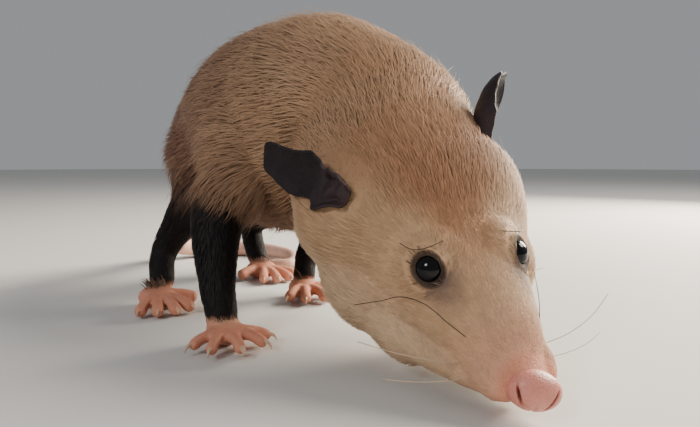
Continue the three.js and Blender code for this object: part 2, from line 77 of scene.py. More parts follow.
class Form:
    """A tapered form on a bent centre line. Each row gives a distance along the line and the half
    sizes to the left, upwards and downwards there."""

    THINNEST = 0.15
    FINENESS = 60
    BATCH = 20000

    def __init__(self, points, rows, up=(0, 0, 1)):
        points = [np.array(p, float) for p in points]
        padded = [2 * points[0] - points[1]] + points + [2 * points[-1] - points[-2]]
        line = []
        for p0, p1, p2, p3 in zip(padded, padded[1:], padded[2:], padded[3:]):
            d0, d1, d2 = (np.linalg.norm(b - a) ** 0.5 for a, b in ((p0, p1), (p1, p2), (p2, p3)))
            t1 = ((p1 - p0) / d0 - (p2 - p0) / (d0 + d1) + (p2 - p1) / d1) * d1
            t2 = ((p2 - p1) / d1 - (p3 - p1) / (d1 + d2) + (p3 - p2) / d2) * d1
            t = np.linspace(0, 1, self.FINENESS, endpoint=False)[:, None]
            square, cube = 3 * (p2 - p1) - 2 * t1 - t2, 2 * (p1 - p2) + t1 + t2
            line.append(p1 + t * t1 + t**2 * square + t**3 * cube)
        self.line = np.vstack(line + [points[-1][None]])
        steps = np.linalg.norm(np.diff(self.line, axis=0), axis=1)
        self.marks = np.concatenate([[0], np.cumsum(steps)])
        self.length = self.marks[-1]
        self.rows = np.array([list(row) + [0] * (4 - len(row)) for row in rows], float)
        self.up = np.array(up, float)

    def size(self, column, along):
        """The half size in a column of the rows, eased between the rows."""
        at, values = self.rows[:, 0], self.rows[:, column]
        along = np.clip(along, at[0], at[-1])
        i = np.clip(np.searchsorted(at, along, side="right") - 1, 0, len(at) - 2)
        t = (along - at[i]) / (at[i + 1] - at[i])
        a, b, c, d = (values[np.clip(i + k, 0, len(at) - 1)] for k in (-1, 0, 1, 2))
        return b + 0.5 * t * (c - a + t * (2 * a - 5 * b + 4 * c - d + t * (3 * (b - c) + d - a)))

    def spine(self, along):
        """Centres and the forward, left and top directions at distances along the line."""
        along = np.atleast_1d(np.asarray(along, float))
        inside = np.clip(along, 0, self.length)
        at = lambda s: np.stack([np.interp(s, self.marks, self.line[:, k]) for k in range(3)], 1)
        ahead = at(np.minimum(inside + 0.5, self.length)) - at(np.maximum(inside - 0.5, 0))
        ahead /= np.linalg.norm(ahead, axis=1)[:, None]
        left = np.cross(self.up, ahead)
        left /= np.linalg.norm(left, axis=1)[:, None]
        centre = at(inside) + ahead * (along - inside)[:, None]
        return centre, ahead, left, np.cross(ahead, left)

    def surface(self, along, angle):
        """Points on the form at distances along the line and angles round it."""
        centre, _, left, top = self.spine(along)
        cos, sin = np.cos(angle), np.sin(angle)
        across = np.maximum(self.size(1, along), self.THINNEST) * cos
        tall = np.where(sin > 0, self.size(2, along), self.size(3, along))
        height = np.maximum(tall, self.THINNEST) * sin
        return centre + left * across[:, None] + top * height[:, None]

    def nearest(self, points, spacing=2.0):
        """The place along the line nearest to each point, and how far out it lies there as a share
        of the form's half size."""
        stops = np.arange(0, self.length + spacing, spacing)
        centre = self.spine(stops)[0]
        along = np.empty(len(points))
        away = np.empty(len(points))
        for begin in range(0, len(points), self.BATCH):
            part = slice(begin, begin + self.BATCH)
            gap = ((points[part][:, None, :] - centre[None]) ** 2).sum(2)
            best = gap.argmin(1)
            along[part] = stops[best]
            away[part] = np.sqrt(gap[np.arange(len(best)), best])
        half = (self.size(1, along) * 2 + self.size(2, along) + self.size(3, along)) / 4
        return along, away / np.maximum(half, 1.5)

    def loft(self, bm, spacing, sides):
        """Adds the closed form to a mesh as a row of rings bridged to one another."""
        first, last = self.rows[0, 0], self.rows[-1, 0]
        stops = np.linspace(first + 0.3, last - 0.3, max(4, int((last - first) / spacing)))
        angle = 2 * math.pi * np.arange(sides) / sides
        loops = []
        for number, along in enumerate(stops):
            is_end = number in (0, len(stops) - 1)
            ring = bmesh.ops.create_circle(bm, segments=sides, radius=1, cap_ends=is_end)["verts"]
            for vert, place in zip(ring, self.surface(np.full(sides, along), angle)):
                vert.co = place
            loops.append(ring)
        for before, after in zip(loops, loops[1:]):
            rims = [
                {edge for vert in loop for edge in vert.link_edges if edge.other_vert(vert) in loop}
                for loop in (set(before), set(after))
            ]
            bmesh.ops.bridge_loops(bm, edges=list(rims[0] | rims[1]))


TAIL_ROOT = Vector((-99, 21, 62))
TRUNK = Form(
    [
        in_head(0, 0, -1), in_head(-34, 0, -5), in_head(-68, 0, -10), in_head(-HEAD_LENGTH, 0, -6),
        (84, 34, 87), (50, 27, 97), (10, 20, 102), (-30, 20, 98), (-71, 20, 84), TAIL_ROOT,
    ],
    [
        (3, 0, 0, 0), (5, 6, 5.5, 4.5), (10, 9, 7.5, 7.5), (20, 14, 13.5, 9), (32, 19, 18, 12),
        (42, 23, 22, 16), (52, 27, 26, 20), (64, 35, 30.5, 25), (78, 43.5, 34, 30),
        (92, 47.5, 37, 35), (106, 45, 37, 39), (126, 42, 38, 42), (150, 43, 42.5, 47),
        (178, 47, 49, 51), (204, 44.5, 47, 54), (232, 42.5, 43, 54), (260, 38, 39, 49),
        (288, 34.5, 34.5, 39), (308, 26, 26, 28), (319, 15, 15, 16), (325, 0, 0, 0),
    ],
)
JAW = Form(
    [in_head(-8, 0, -11), in_head(-30, 0, -17), in_head(-56, 0, -26), in_head(-88, 0, -34)],
    [
        (0, 0, 0, 0), (2, 4, 4, 3.5), (8, 6.5, 7, 5.6), (22, 10, 9.5, 9.2), (38, 15, 12, 12.5),
        (56, 21, 14, 15), (74, 26, 15, 17), (88, 0, 0, 0),
    ],
)
LIP_PATH = [
    (-7, 4, -4.4), (-14, 9, -6.8), (-24, 14.5, -10.8), (-38, 20, -16.5), (-56, 25, -20.5),
    (-76, 23, -16),
]
LIP_ROWS = [
    (0, 0, 0, 0), (2, 3, 3, 3), (10, 4, 4, 4), (24, 4.8, 5.2, 5), (40, 5.8, 6.5, 6),
    (60, 8, 9.5, 8.5), (80, 0, 0, 0),
]
LEG_PLANS = {
    "right_fore": dict(
        points=[(50, -8, 84), (42, -27, 56), (60, -37, 27), (70, -38, 6)],
        shares=[(0, 0), (0.06, 16), (0.25, 15), (0.45, 12), (0.65, 9.5), (0.84, 8), (0.96, 7), (1, 0)],
        sole=(72, -38), heading=-6, toes=(-66, -34, 0, 34, 64), size=22,
    ),
    "left_fore": dict(
        points=[(42, 44, 82), (16, 52, 54), (4, 42, 26), (10, 35, 6)],
        shares=[(0, 0), (0.06, 16), (0.25, 15), (0.45, 11), (0.65, 7.5), (0.84, 6.5), (0.96, 6), (1, 0)],
        sole=(12, 35), heading=4, toes=(-62, -32, 0, 30, 58), size=22,
    ),
    "right_hind": dict(
        points=[(-56, 6, 80), (-20, -15, 62), (-34, -32, 26), (-15, -39, 8)],
        shares=[(0, 0), (0.03, 12), (0.1, 16), (0.22, 16.5), (0.41, 13), (0.58, 9.5), (0.76, 7.5),
                (0.96, 6.5), (1, 0)],
        sole=(-12, -42), heading=-8, toes=(-30, -10, 10, 30, 82), size=27,
    ),
    "left_hind": dict(
        points=[(-62, 34, 80), (-44, 48, 56), (-80, 45, 32), (-61, 41, 7)],
        shares=[(0, 0), (0.03, 11), (0.1, 17), (0.22, 18), (0.4, 14), (0.58, 9), (0.76, 7.5),
                (0.96, 6.5), (1, 0)],
        sole=(-56, 41), heading=6, toes=(30, 10, -10, -30, -82), size=27,
    ),
}
LEGS = {}
for leg_name, plan in LEG_PLANS.items():
    reach = Form(plan["points"], [(0, 0), (1, 0)]).length
    rows = [(share * reach, radius * 0.9, radius, radius) for share, radius in plan["shares"]]
    LEGS[leg_name] = Form(plan["points"], rows, up=(1, 0, 0))


# Camera. A low close view from the front right of the animal, a hand above the ground, looking
# back along its body and slightly down.
FILM_WIDTH, PICTURE_PIXELS, FOCAL_PIXELS = 36, 700, 600
TILT = math.radians(5)
camera = bpy.data.objects.new("camera", bpy.data.cameras.new("camera"))
camera.location = PLAN_TO_FRAME @ Vector((311, -135, 79))
looking = Vector((-0.829 * math.cos(TILT), 0.559 * math.cos(TILT), -math.sin(TILT)))
camera.rotation_euler = looking.to_track_quat("-Z", "Y").to_euler()
camera.data.sensor_width = FILM_WIDTH
camera.data.lens = FILM_WIDTH * FOCAL_PIXELS / PICTURE_PIXELS
camera.data.clip_start = 0.01
bpy.context.scene.collection.objects.link(camera)
bpy.context.scene.camera = camera


# Skin. One hide covers the muzzle, cheeks, lips, jaw, trunk, legs and feet without a seam. The
# full upper lip hangs over the mouth, the lids stand round the eyes, and the palms and toes are
# bare and pink.
class Value:
    """A number or colour in a material, which can be added to, multiplied and mixed."""

    def __init__(self, look, socket):
        self.look, self.socket = look, socket

    def _with(self, operation, first, second):
        made = self.look.node("ShaderNodeMath", {"operation": operation}, {0: first, 1: second})
        return Value(self.look, made.outputs[0])

    def __add__(self, other):
        return self._with("ADD", self, other)

    def __radd__(self, other):
        return self._with("ADD", other, self)

    def __sub__(self, other):
        return self._with("SUBTRACT", self, other)

    def __rsub__(self, other):
        return self._with("SUBTRACT", other, self)

    def __mul__(self, other):
        return self._with("MULTIPLY", self, other)

    def __rmul__(self, other):
        return self._with("MULTIPLY", other, self)


class Look:
    """A material whose colour, roughness and relief are made by nodes."""

    def __init__(self, name, **constants):
        self.material = bpy.data.materials.new(name)
        self.material.use_nodes = True
        self.tree = self.material.node_tree
        self.shader = self.tree.nodes["Principled BSDF"]
        for socket, value in constants.items():
            self.shader.inputs[socket.replace("_", " ")].default_value = value
        self.place = Value(self, self.node("ShaderNodeTexCoord", {}, {}).outputs["Object"])

    def node(self, kind, settings, inputs):
        made = self.tree.nodes.new(kind)
        for key, value in settings.items():
            setattr(made, key, value)
        for key, value in inputs.items():
            self.put(made.inputs[key], value)
        return made

    def put(self, socket, value):
        if isinstance(value, Value):
            self.tree.links.new(value.socket, socket)
        else:
            socket.default_value = value

    def noise(self, scale, detail=3.0, roughness=0.55):
        inputs = {"Vector": self.place, "Scale": scale, "Detail": detail, "Roughness": roughness}
        return Value(self, self.node("ShaderNodeTexNoise", {}, inputs).outputs["Fac"])

    def cells(self, scale, feature="F1"):
        inputs = {"Vector": self.place, "Scale": scale}
        made = self.node("ShaderNodeTexVoronoi", {"feature": feature}, inputs)
        return Value(self, made.outputs["Distance"])

    def mark(self, name):
        made = self.node("ShaderNodeAttribute", {"attribute_name": name}, {})
        return Value(self, made.outputs["Fac"])

    def ramp(self, value, low, high, to_low=0.0, to_high=1.0):
        """A value eased from one range to another, and held at its ends."""
        inputs = {0: value, 1: low, 2: high, 3: to_low, 4: to_high}
        settings = {"interpolation_type": "SMOOTHSTEP", "clamp": True}
        return Value(self, self.node("ShaderNodeMapRange", settings, inputs).outputs[0])

    def mix(self, share, first, second):
        settings = {"data_type": "RGBA", "blend_type": "MIX"}
        made = self.node("ShaderNodeMix", settings, {0: share, 6: first, 7: second})
        return Value(self, made.outputs[2])

    def shade(self, colour, factor):
        made = self.node("ShaderNodeVectorMath", {"operation": "SCALE"}, {0: colour, "Scale": factor})
        return Value(self, made.outputs[0])

    def bump(self, height, distance, strength=1.0, under=None):
        inputs = {"Height": height, "Distance": distance, "Strength": strength}
        if under is not None:
            inputs["Normal"] = under
        return Value(self, self.node("ShaderNodeBump", {}, inputs).outputs[0])

    def finish(self, **varying):
        for socket, value in varying.items():
            self.put(self.shader.inputs[socket.replace("_", " ")], value)


def paint(red, green, blue):
    """A colour given as it looks on a screen, 0 to 255."""
    curve = lambda v: v / 12.92 if v <= 0.04045 else ((v + 0.055) / 1.055) ** 2.4
    return (curve(red / 255), curve(green / 255), curve(blue / 255), 1)


def smooth(low, high, value):
    """An eased step from 0 at one value to 1 at the other, which may lie below it."""
    t = np.clip((value - low) / (high - low), 0, 1)
    return t * t * (3 - 2 * t)


def egg(bm, centre, radii, turn=Matrix.Identity(4)):
    """Adds a closed egg, half sizes given, to a mesh."""
    ball = bmesh.ops.create_uvsphere(bm, u_segments=36, v_segments=24, radius=1)["verts"]
    place = Matrix.Translation(centre) @ turn @ Matrix.Diagonal((*radii, 1))
    bmesh.ops.transform(bm, matrix=place, verts=ball)


def set_in_scene(mesh, material):
    """Hangs a finished mesh on the model as a piece of the same name."""
    piece = bpy.data.objects.new(mesh.name, mesh)
    bpy.context.scene.collection.objects.link(piece)
    mesh.materials.append(material)
    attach(piece, "root")
    return piece


def new_piece(name, bm, material):
    """Turns a mesh drawn in millimetres into a piece of the model."""
    bm.transform(PLAN_TO_FRAME)
    for face in bm.faces:
        face.smooth = True
    mesh = bpy.data.meshes.new(name)
    bm.to_mesh(mesh)
    bm.free()
    return set_in_scene(mesh, material)


def toe_paths(plan, is_hind):
    """Each toe's reach from the middle of the palm, whether it is the thumb of a hind foot, and a
    function that gives places over its line."""
    for number, angle in enumerate(plan["toes"]):
        thumb = is_hind and number == 4
        spread = math.radians(angle)
        turn = math.radians(plan["heading"] + angle)
        reach = plan["size"] * (0.72 if thumb else 0.78 + 0.22 * math.cos(spread))
        yield reach, thumb, lambda out, height, turn=turn: (
            plan["sole"][0] + out * math.cos(turn), plan["sole"][1] + out * math.sin(turn), height)


EYES = {}
for side_name, side in SIDES.items():
    gaze = HEAD_TURNED @ Vector((0.52, side * 0.58, 0.62)).normalized()
    corner = HEAD_TURNED @ Vector((0.86, side * -0.3, -0.4))
    corner = (corner - gaze * corner.dot(gaze)).normalized()
    EYES[side_name] = (in_head(-EYE_BACK, side * EYE_SIDE, EYE_RISE), gaze, corner, gaze.cross(corner))

TOE_RADIUS = 3.1
EYE_RADIUS, LID = 6, 1.4
NOSE_MIDDLE = in_head(-4.2, 0, -0.4)
hide = bmesh.new()
TRUNK.loft(hide, spacing=2.5, sides=64)
JAW.loft(hide, spacing=2.5, sides=40)
egg(hide, in_head(-98, 0, -26), (34, 33, 22), HEAD_TURNED)
for flesh, radii in (
    ((-24, -4, 83), (28, 22, 27)), ((-52, 42, 76), (28, 21, 22)), ((38, -9, 84), (26, 21, 24)),
):
    egg(hide, Vector(flesh), radii)
tail_foot = [(-80, 20.5, 77), TAIL_ROOT, TAIL_ROOT + Vector((-22, -1.5, -20))]
foot_sizes = ((0, 0), (2, 15), (14, 14), (26, 12.4), (38, 10.6), (46, 9.6), (49, 0))
Form(tail_foot, [(along, *[size] * 3) for along, size in foot_sizes]).loft(hide, spacing=1.5, sides=36)
for side_name, side in SIDES.items():
    Form([in_head(x, side * y, z) for x, y, z in LIP_PATH], LIP_ROWS).loft(hide, spacing=2, sides=28)
    eye_place, gaze = EYES[side_name][:2]
    orbit = gaze.to_track_quat("Z", "Y").to_matrix().to_4x4()
    egg(hide, eye_place, [EYE_RADIUS + LID] * 3)
    egg(hide, eye_place - gaze * 2.4, (10, 10, 8.0), orbit)
    egg(hide, eye_place - gaze * 3.2, (14, 13, 7.4), orbit)
    egg(hide, in_head(-74, side * 24, -17), (26, 19, 18), HEAD_TURNED)
    tipped = HEAD_TURNED @ Matrix.Rotation(math.radians(16), 4, "Y")
    egg(hide, in_head(-60, side * 18, -17), (26, 16, 12), tipped)
    egg(hide, in_head(-18, side * 7.4, -3.8), (13, 7, 7), HEAD_TURNED)
for leg_name, leg in LEGS.items():
    plan = LEG_PLANS[leg_name]
    leg.loft(hide, spacing=2.5, sides=32)
    x, y = plan["sole"]
    egg(hide, Vector((x - 2, y, 5.6)), (plan["size"] * 0.42, plan["size"] * 0.38, 6.2))
    for reach, thumb, at in toe_paths(plan, "hind" in leg_name):
        radius = TOE_RADIUS * (1.15 if thumb else 1)
        sizes = (0.3, 0.94), (0.5, 0.88), (0.7, 1.02), (0.78, 0.9), (0.86, 0)
        rows = [(0, 0), (2, *[radius] * 3)]
        rows += [(reach * share, *[radius * size] * 3) for share, size in sizes]
        toe = Form([at(reach * 0.22, 6), at(reach * 0.68, 6.2), at(reach, radius * 0.95)], rows)
        toe.loft(hide, spacing=1, sides=18)
draft = bpy.data.meshes.new("draft")
hide.to_mesh(draft)
hide.free()
draft_piece = bpy.data.objects.new("draft", draft)
bpy.context.scene.collection.objects.link(draft_piece)
joining = draft_piece.modifiers.new("joining", "REMESH")
joining.mode = "VOXEL"
joining.voxel_size = 0.75
easing = draft_piece.modifiers.new("easing", "SMOOTH")
easing.factor = 0.5
easing.iterations = 6
thinning = draft_piece.modifiers.new("thinning", "DECIMATE")
thinning.ratio = 0.33
settled = draft_piece.evaluated_get(bpy.context.evaluated_depsgraph_get())
joined = bpy.data.meshes.new_from_object(settled)
bpy.data.objects.remove(draft_piece)


def away_from(points, place):
    return np.linalg.norm(points - np.array(place), axis=1)


face_bm = bmesh.new()
face_bm.from_mesh(joined)
place_of = np.array([vert.co for vert in face_bm.verts])
down_head, _ = TRUNK.nearest(place_of)
on_head = (down_head < 112) & (away_from(place_of, NOSE_TIP) > 20)
on_haunch = (place_of[:, 2] > 56) & (np.abs(place_of[:, 0] + 36) < 44)
by_eye = np.min([away_from(place_of, eye[0]) for eye in EYES.values()], axis=0) < 21
to_head = np.array(HEAD.inverted())
under_chin = on_head & (place_of @ to_head[2, :3] + to_head[2, 3] < -11)
for chosen, times in ((on_haunch, 24), (on_head, 10), (by_eye, 14), (under_chin, 18)):
    softened = [vert for vert, inside in zip(face_bm.verts, chosen) if inside]
    for _ in range(times):
        bmesh.ops.smooth_vert(
            face_bm, verts=softened, factor=0.5, use_axis_x=True, use_axis_y=True, use_axis_z=True,
        )
face_bm.to_mesh(joined)
face_bm.free()
LID_WIDE, LID_TALL, LID_POINT = 5.2, 4.8, 0.10


def lid_place(points, side_name):
    """Where points lie round an eye: 1 on the edge of the lids, less inside the opening."""
    centre, gaze, corner, rise = (np.array(v) for v in EYES[side_name])
    off = points - centre
    a, b, ahead = off @ corner / LID_WIDE, off @ rise / LID_TALL, off @ gaze
    spread = np.sqrt(a**2 + b**2) / (1 + LID_POINT * np.abs(a) / (np.sqrt(a**2 + b**2) + 0.01))
    return np.where(ahead > 0, spread, 9), off, np.linalg.norm(off, axis=1)


SOCKET, LID_HEIGHT, GROUND = 4.6, 6.9, 0.15
places = np.empty(len(joined.vertices) * 3)
joined.vertices.foreach_get("co", places)
places = places.reshape(-1, 3)
for side_name in SIDES:
    spread, off, away = lid_place(places, side_name)
    outwards = off / away[:, None]
    near = away < 11
    sunk = near & (spread < 1)
    depth = np.where(spread < 0.86, SOCKET, SOCKET + (away - SOCKET) * smooth(0.86, 1.0, spread))
    places[sunk] = (places - off + outwards * depth[:, None])[sunk]
    proud = near & (spread >= 1) & (spread < 1.5) & (away < LID_HEIGHT)
    places[proud] = (places - off + outwards * (LID_HEIGHT - 0.6 * (spread - 1))[:, None])[proud]
    fold = near & (spread >= 1)
    ridge, furrow = (np.exp(-(((spread - edge) / 0.10) ** 2)) for edge in (1.12, 1.42))
    places[fold] += (outwards * (0.35 * ridge - 0.45 * furrow)[:, None])[fold]
places[:, 2] = np.maximum(places[:, 2], GROUND)
joined.vertices.foreach_set("co", places.ravel())
joined.update()


def marks(points):
    """The share of each marking, and of the painted shade, at points on the animal."""
    along, out = TRUNK.nearest(points)
    head = np.array(HEAD.inverted())
    local = points @ head[:3, :3].T + head[:3, 3]
    leg = np.zeros(len(points))
    for name, form in LEGS.items():
        place, ratio = form.nearest(points)
        share = place / form.length
        start = (0.22, 0.40) if "fore" in name else (0.32, 0.52)
        outside = smooth(1.75, 1.15, ratio) * smooth(0.97, 1.2, out + share * 0.6)
        leg = np.maximum(leg, smooth(*start, share) * outside)
    foot = np.zeros(len(points))
    for plan in LEG_PLANS.values():
        beside = smooth(plan["size"] * 1.5, plan["size"] * 1.35, away_from(points, (*plan["sole"], 5)))
        foot = np.maximum(foot, beside * smooth(14, 8.5, points[:, 2]))
    centre = TRUNK.spine(along)[0]
    height = (points[:, 2] - centre[:, 2]) / 45
    ring = np.zeros(len(points))
    smudge = np.zeros(len(points))
    for side_name, side in SIDES.items():
        spread, _, away = lid_place(points, side_name)
        ring = np.maximum(ring, smooth(1.3, 1.08, spread) * (away < 14))
        before_eye = (-EYE_BACK + 9, side * (EYE_SIDE - 1), EYE_RISE + 0.5)
        front = (local - np.array(before_eye)) / np.array([11, 7.5, 8])
        smudge = np.maximum(smudge, smooth(1.25, 0.1, np.linalg.norm(front, axis=1)))
    from_nose = away_from(points, NOSE_MIDDLE)
    brow_width = np.interp(along, (35, 60, 80, 105), (8, 11, 22, 34))
    brow = smooth(-4, 8, local[:, 2]) * smooth(1.5, 0.5, np.abs(local[:, 1]) / brow_width)
    return {
        "leg": leg * (1 - foot), "bare": np.maximum(foot, smooth(13.5, 9.5, from_nose)),
        # under: painted shade, darker on the lower half of the trunk
        "rear": smooth(110, 255, along), "under": smooth(-0.15, -0.85, height) * smooth(100, 140, along),
        "ring": ring, "smudge": smudge, "muzzle": smooth(34, 8, from_nose),
        "cheek": smooth(2, -16, local[:, 2]) * smooth(118, 80, along),
        # nape: painted shade that darkens the neck against the light from above
        "nape": smooth(70, 115, along) * smooth(175, 125, along),
        # brow: the forehead's own tan, deepened further as painted shade against the light from above
        "brow": smooth(26, 60, along) * smooth(118, 96, along) * brow,
    }


def put_marks(mesh, shares):
    for name, values in shares.items():
        mark = mesh.attributes.new(name, "FLOAT", "POINT")
        mark.data.foreach_set("value", np.ascontiguousarray(values, np.float32))


def coat_colour(look):
    """The colour of the coat and of the hide under it, from the markings and the painted shade."""
    fine, broad = look.noise(260, 4), look.noise(38, 3)
    mottle = look.ramp(look.noise(58, 4, 0.6), 0.32, 0.66)
    colour = look.mix(broad, paint(176, 138, 104), paint(196, 162, 128))
    for name, share, shade in (
        # Brow: the forehead's own tan, deepened further as painted shade. Nape: painted shade on the neck.
        ("brow", 0.76, (148, 100, 68)), ("nape", 0.6, (156, 116, 86)),
        # Under: painted shade on the lower half of the trunk.
        ("rear", 0.62 + 0.3 * mottle, (98, 64, 54)), ("under", 0.6, (92, 62, 48)),
        ("cheek", 0.6, (206, 176, 146)), ("muzzle", 0.7, (206, 150, 124)),
        ("smudge", look.ramp(fine, 0.3, 0.6, 0.62, 0.8), (84, 68, 68)), ("ring", 0.9, (24, 18, 20)),
    ):
        colour = look.mix(look.mark(name) * share, colour, paint(*shade))
    return look.mix(look.mark("leg"), colour, look.mix(broad, paint(8, 7, 8), paint(24, 17, 17)))


hide_look = Look("hide", Specular_IOR_Level=0.22)
creases = hide_look.cells(900, "DISTANCE_TO_EDGE")
flesh = hide_look.mix(hide_look.noise(120), paint(196, 126, 100), paint(216, 152, 126))
# Painted shade: the bare flesh is darker in the creases between the cells.
flesh = hide_look.mix(hide_look.ramp(creases, 0.0, 0.12, 0.2, 0.0), flesh, paint(140, 76, 60))
nap = hide_look.bump(hide_look.noise(1400, 3), 0.0004, 0.7)
hide_look.finish(
    Base_Color=hide_look.mix(hide_look.mark("bare"), coat_colour(hide_look), flesh),
    Normal=hide_look.bump(hide_look.ramp(creases, 0, 0.15), 0.00015, 0.4, nap),
    Roughness=0.72 - 0.18 * hide_look.mark("bare"),
)

put_marks(joined, marks(places))
skin_bm = bmesh.new()
skin_bm.from_mesh(joined)
bmesh.ops.recalc_face_normals(skin_bm, faces=skin_bm.faces)
skin = new_piece("skin", skin_bm, hide_look.material)
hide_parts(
    "head", "lower_jaw", "neck", "shoulders", "loin", "rump",
    *[f"{part}_{side}" for side in SIDES for part in
      ("upper_arm", "forearm", "thigh", "shank", "forefoot", "hindfoot")],
)


# Coat. Soft guard hairs over a dense underfur, long and lying back on the neck and trunk, short
# and close on the face, and shortest on the ankles. The tufts are rooted in the hide, lean with
# the lie of the coat and gather in loose locks.
loose = bmesh.new()
loose.from_mesh(joined)
bmesh.ops.triangulate(loose, faces=loose.faces)
loose.verts.ensure_lookup_table()
spots = np.array([v.co for v in loose.verts])
outward = np.array([v.normal for v in loose.verts])
corners = np.array([[v.index for v in f.verts] for f in loose.faces])
loose.free()
hide_tree = BVHTree.FromPolygons([Vector(spot) for spot in spots], corners.tolist())
chance = np.random.default_rng(7)


def scatter(count, density):
    """Roots spread over the hide, as thick as the density of each vertex says."""
    a, b, c = (spots[corners[:, k]] for k in range(3))
    area = np.linalg.norm(np.cross(b - a, c - a), axis=1) / 2
    weight = area * density[corners].mean(1)
    picked = chance.choice(len(corners), count, p=weight / weight.sum())
    u, v = chance.random((2, count))
    u, v = np.where(u + v > 1, 1 - u, u), np.where(u + v > 1, 1 - v, v)
    shares = np.stack([1 - u - v, u, v], 1)[:, :, None]
    roots = (spots[corners[picked]] * shares).sum(1)
    facing = (outward[corners[picked]] * shares).sum(1)
    return roots, facing / np.linalg.norm(facing, axis=1)[:, None]


def lie(roots, facing):
    """The way the coat lies at each root: back along the trunk and down the legs."""
    flow = np.zeros_like(roots)
    for form in [TRUNK, *LEGS.values()]:
        along, out = form.nearest(roots)
        if form is TRUNK:
            weight = np.maximum(0, 1.9 - out) ** 4 + 1e-6
        else:
            weight = np.maximum(0, 1.7 - out) ** 4 * smooth(0.03, 0.25, along / form.length) * 3
        flow += form.spine(along)[1] * weight[:, None]
    flow /= np.linalg.norm(flow, axis=1)[:, None]
    for side_name in SIDES:
        _, off, away = lid_place(roots, side_name)
        flow += off / away[:, None] * (0.9 * smooth(17, 7, away))[:, None]
    flow[:, 2] -= 0.25 * smooth(0.9, 0.1, np.abs(facing[:, 2])) * smooth(30, 60, roots[:, 2])
    flow -= facing * (flow * facing).sum(1)[:, None]
    return flow / np.maximum(np.linalg.norm(flow, axis=1), 1e-6)[:, None]


def sway(points, size, seed):
    """A slow wandering, the same for neighbours, between -1 and 1 in each direction."""
    waves = np.random.default_rng(seed)
    total = np.zeros_like(points)
    for _ in range(4):
        way = waves.normal(size=(3, 3)) / size
        total += np.sin(points @ way + waves.random(3) * 6.3)
    return total / 3


def tufts(roots, facing, length, rise, rings, gather, lock, curl):
    """Centre lines of the tufts, their side directions and tones, gathered towards loose locks."""
    way = lie(roots, facing)
    way = way + sway(roots, 11, 3) * curl * 0.5 + chance.normal(size=roots.shape) * curl * 0.35
    way -= facing * (way * facing).sum(1)[:, None]
    way /= np.linalg.norm(way, axis=1)[:, None]
    heads = roots[chance.random(len(roots)) < min(1, 1 / (lock**2 * 0.9))]
    tree = KDTree(len(heads))
    for number, place in enumerate(heads):
        tree.insert(place, number)
    tree.balance()
    found = [tree.find(place)[:2] for place in roots]
    lock_tone = chance.random(len(heads))[[number for _, number in found]]
    pull = np.array([place for place, _ in found]) - roots
    pull -= facing * (pull * facing).sum(1)[:, None]
    lines = []
    for s in np.linspace(0, 1, rings + 1):
        lift = rise * (s * 1.6 - 0.75 * s**2)
        reach = length * s * np.sqrt(np.maximum(1 - (rise / length) ** 2, 0.2))
        depth = np.minimum(0.35, 0.45 * rise)
        place = roots + way * reach[:, None] + facing * (lift - depth)[:, None] + pull * gather * s**1.5
        place[:, 2] -= 0.08 * length * s**2
        lines.append(place)
    lines = np.stack(lines, 1)
    lines[:, :, 2] = np.maximum(lines[:, :, 2], 0.4)
    side = np.cross(way, facing)
    side /= np.linalg.norm(side, axis=1)[:, None]
    return lines, side, 0.5 * lock_tone + 0.5 * chance.random(len(roots))


PATCH = 0.003


def tuft_mesh(name, slot, lines, side, facing, width, tone, spread_at, shares):
    """Joins tufts as slim three-sided spikes in one mesh, with a small patch of the map for each."""
    count, rings = len(lines), lines.shape[1] - 1
    profile = np.interp(np.arange(rings) / rings, [0, 0.35, 0.7, 1], [0.8, 1, 0.7, 0.3])
    around = [(0.5, 0.0), (-0.5, 0.0), (0.0, 0.45)]
    verts = np.empty((count, rings * 3 + 1, 3))
    for ring in range(rings):
        half = (width * profile[ring])[:, None]
        for k, (a, b) in enumerate(around):
            verts[:, ring * 3 + k] = lines[:, ring] + side * a * half + facing * b * half
    verts[:, -1] = lines[:, -1]
    faces = [(0, 2, 1)]
    for ring in range(rings - 1):
        for k in range(3):
            a, b = ring * 3 + k, ring * 3 + (k + 1) % 3
            faces += [(a, b, b + 3), (a, b + 3, a + 3)]
    last = (rings - 1) * 3
    faces += [(last + k, last + (k + 1) % 3, rings * 3) for k in range(3)]
    faces = np.array(faces)
    size = rings * 3 + 1
    index = (np.arange(count)[:, None, None] * size + faces[None]).reshape(-1)
    round_off = np.array([0.7, -0.7, 0.0])
    soft = facing[:, None] + side[:, None] * np.append(np.tile(round_off, rings), 0)[None, :, None]
    soft /= np.linalg.norm(soft, axis=2)[:, :, None]
    scaled = verts.reshape(-1, 3) * MILLIMETRE + np.array(PLAN_SHIFT)
    mesh = bpy.data.meshes.new(name)
    mesh.vertices.add(len(scaled))
    mesh.vertices.foreach_set("co", scaled.ravel())
    mesh.loops.add(len(index))
    mesh.loops.foreach_set("vertex_index", index)
    mesh.polygons.add(len(index) // 3)
    mesh.polygons.foreach_set("loop_start", np.arange(0, len(index), 3))
    mesh.polygons.foreach_set("use_smooth", np.ones(len(index) // 3, bool))
    normals = mesh.attributes.new("custom_normal", "FLOAT_VECTOR", "POINT")
    normals.data.foreach_set("vector", soft.ravel())
    mesh.update(calc_edges=True)
    ring_of = np.append(np.repeat(np.arange(rings), 3), rings)
    around_of = np.append(np.tile(np.arange(3), rings), 1)
    patch = np.stack([around_of / 2, ring_of / rings], 1) * PATCH
    map_places = (spread_at[:, None, :] + patch[None]).reshape(-1, 2)
    mesh.uv_layers.new(name="OFBake").data.foreach_set("uv", map_places[index].ravel())
    put_marks(mesh, {key: np.repeat(values, size) for key, values in shares.items()})
    put_marks(mesh, {"strand": np.tile(ring_of / rings, count), "tone": np.repeat(tone, size)})
    set_in_scene(mesh, coat_look.material)


